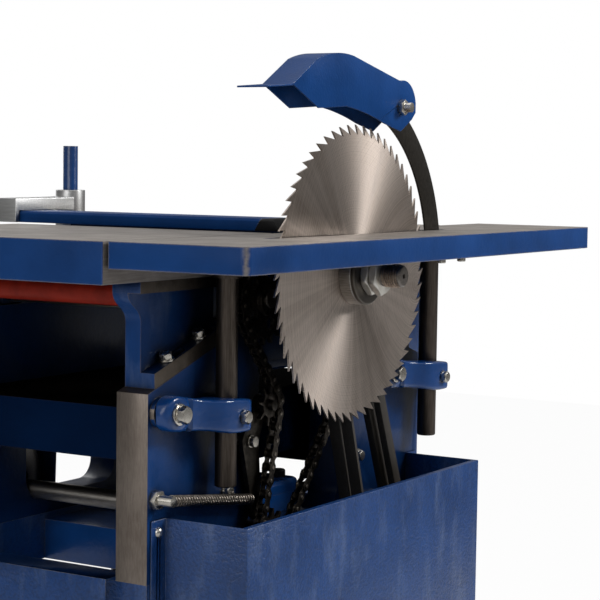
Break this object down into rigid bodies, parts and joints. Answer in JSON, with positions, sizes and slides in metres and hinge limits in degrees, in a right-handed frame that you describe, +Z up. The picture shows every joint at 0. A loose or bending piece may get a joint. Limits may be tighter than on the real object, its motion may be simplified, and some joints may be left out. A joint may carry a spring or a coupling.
{
  "type": "combination woodworking machine",
  "caption": "Floor-standing planer, thicknesser and circular saw in one cast frame, with one belt-driven spindle, chain feed and rising saw table.",
  "frame": {"origin": "on the floor at the centre of the four floor bolts, under the spindle axis and midway between the side frames", "axes": "+X along the spindle towards the saw, +Y along the feed away from the operator, +Z up"},
  "size_m": [0.6905, 0.913, 1.0177],
  "materials": {
    "blue_paint": "glossy blue machine paint",
    "ground_iron": "ground cast iron",
    "blade_steel": "ground saw steel",
    "bright_steel": "turned steel",
    "zinc_steel": "zinc plated fasteners",
    "dark_steel": "dark oiled steel",
    "belt_rubber": "matt black rubber",
    "black_plastic": "matt black moulding",
    "guard_alloy": "satin extruded alloy",
    "red_paint": "red paint",
    "motor_paint": "satin motor paint"
  },
  "bodies": {
    "frame": {"stand_frame": "blue_paint", "motor_shelf": "blue_paint", "motor_housing": "motor_paint", "motor_fan_cover": "black_plastic", "motor_terminal_box": "black_plastic", "saw_side_frame": "blue_paint", "far_side_frame": "blue_paint", "lift_housing": "blue_paint", "bearing_housings": "blue_paint", "spindle_bearings": "bright_steel", "roller_blocks": "blue_paint", "post_clamps": "blue_paint", "post_lock_screws": "zinc_steel", "frame_bolts": "zinc_steel", "slot_bolts": "zinc_steel", "spring_stud": "zinc_steel", "tensioner_spring": "dark_steel", "lever_pivot_bolt": "zinc_steel", "gearbox_housing": "blue_paint", "gearbox_cap": "black_plastic", "feed_chain": "dark_steel", "v_belts": "belt_rubber", "belt_box": "blue_paint", "belt_box_screws": "zinc_steel", "far_belt_cover": "blue_paint", "guard_post": "blue_paint"},
    "spindle": {"cutter_block": "bright_steel", "cutter_knives": "blade_steel", "knife_wedges": "bright_steel", "spindle_pulleys": "bright_steel", "blade_flanges": "bright_steel", "saw_blade": "blade_steel", "spindle_nuts": "zinc_steel"},
    "motor_rotor": {"motor_pulley": "bright_steel"},
    "infeed_feed": {"infeed_roller": "bright_steel", "infeed_sprocket": "dark_steel"},
    "outfeed_feed": {"outfeed_roller": "bright_steel", "outfeed_sprocket": "dark_steel"},
    "feed_drive": {"drive_sprocket": "dark_steel"},
    "feed_input": {"feed_input_pulley": "dark_steel"},
    "tensioner": {"tension_lever": "dark_steel"},
    "idler": {"idler_sprocket": "dark_steel"},
    "saw_table": {"saw_table": "ground_iron", "table_posts": "bright_steel", "riving_knife": "dark_steel", "knife_bracket": "dark_steel", "hood_bolt": "zinc_steel"},
    "hood": {"saw_hood": "blue_paint"},
    "infeed": {"infeed_table": "ground_iron", "infeed_brackets": "blue_paint", "infeed_tie_bar": "red_paint"},
    "outfeed": {"outfeed_table": "ground_iron", "outfeed_brackets": "blue_paint"},
    "thickness": {"thickness_table": "ground_iron"},
    "lift_screw": {"lift_screw": "bright_steel"},
    "handwheel": {"handwheel": "bright_steel", "handwheel_grip": "black_plastic"},
    "guard_arm": {"guard_carrier": "guard_alloy"},
    "guard": {"guard_bar": "blue_paint", "guard_end_cap": "black_plastic"}
  },
  "joints": [
    {"name": "spindle_spin", "type": "hinge", "parent": "frame", "child": "spindle", "pos_m": [0, 0, 0.76], "axis": [1, 0, 0], "continuous": true},
    {"name": "motor_spin", "type": "hinge", "parent": "frame", "child": "motor_rotor", "pos_m": [0, 0.16, 0.31], "axis": [1, 0, 0], "continuous": true},
    {"name": "feed_input_spin", "type": "hinge", "parent": "frame", "child": "feed_input", "pos_m": [0, -0.064, 0.464], "axis": [1, 0, 0], "continuous": true},
    {"name": "feed_spin", "type": "hinge", "parent": "frame", "child": "infeed_feed", "pos_m": [0, -0.108, 0.734], "axis": [1, 0, 0], "continuous": true, "deforming": ["feed_chain"]},
    {"name": "outfeed_roller_spin", "type": "hinge", "parent": "frame", "child": "outfeed_feed", "pos_m": [0, 0.108, 0.734], "axis": [1, 0, 0], "continuous": true, "deforming": ["feed_chain"]},
    {"name": "drive_sprocket_spin", "type": "hinge", "parent": "frame", "child": "feed_drive", "pos_m": [0, -0.088, 0.455], "axis": [1, 0, 0], "continuous": true, "deforming": ["feed_chain"]},
    {"name": "tensioner_swing", "type": "hinge", "parent": "frame", "child": "tensioner", "pos_m": [0.2075, -0.119, 0.567], "axis": [1, 0, 0], "range_deg": [0, 4], "stiffness_Nm_per_rad": 12, "springref_deg": -5.73, "deforming": ["tensioner_spring", "feed_chain"]},
    {"name": "idler_spin", "type": "hinge", "parent": "tensioner", "child": "idler", "pos_m": [0.22, -0.096, 0.608], "axis": [1, 0, 0], "continuous": true, "deforming": ["feed_chain"]},
    {"name": "saw_table_lift", "type": "slide", "parent": "frame", "child": "saw_table", "axis": [0, 0, 1], "range_m": [0, 0.055]},
    {"name": "hood_tilt", "type": "hinge", "parent": "saw_table", "child": "hood", "pos_m": [0.276, 0.076, 0.96], "axis": [-1, 0, 0], "range_deg": [-4, 50]},
    {"name": "infeed_slide", "type": "slide", "parent": "frame", "child": "infeed", "axis": [0, 0.9511, 0.309], "range_m": [-0.026, 0]},
    {"name": "outfeed_slide", "type": "slide", "parent": "frame", "child": "outfeed", "axis": [0, -0.9511, 0.309], "range_m": [-0.01, 0]},
    {"name": "handwheel_spin", "type": "hinge", "parent": "frame", "child": "handwheel", "pos_m": [0, -0.346, 0.22], "axis": [0, -1, 0], "range_deg": [-600, 2700]},
    {"name": "thickness_lift", "type": "slide", "parent": "frame", "child": "thickness", "axis": [0, 0, 1], "range_m": [-0.02, 0.09]},
    {"name": "lift_screw_spin", "type": "hinge", "parent": "frame", "child": "lift_screw", "pos_m": [0, 0, 0.4], "axis": [0, 0, 1], "range_deg": [-600, 2700]},
    {"name": "guard_lift", "type": "slide", "parent": "frame", "child": "guard_arm", "axis": [0, 0, 1], "range_m": [0, 0.08]},
    {"name": "guard_slide", "type": "slide", "parent": "guard_arm", "child": "guard", "axis": [1, 0, 0], "range_m": [-0.18, 0.008]}
  ],
  "couplings": [
    {"joint": "motor_spin", "follows": "spindle_spin", "ratio": 0.61538},
    {"joint": "feed_input_spin", "follows": "spindle_spin", "ratio": 0.37333},
    {"joint": "outfeed_roller_spin", "follows": "feed_spin", "ratio": 1},
    {"joint": "drive_sprocket_spin", "follows": "feed_spin", "ratio": 2},
    {"joint": "idler_spin", "follows": "feed_spin", "ratio": -2.5},
    {"joint": "thickness_lift", "follows": "handwheel_spin", "m_per_rad": 0.0019099},
    {"joint": "lift_screw_spin", "follows": "handwheel_spin", "ratio": 1}
  ]
}
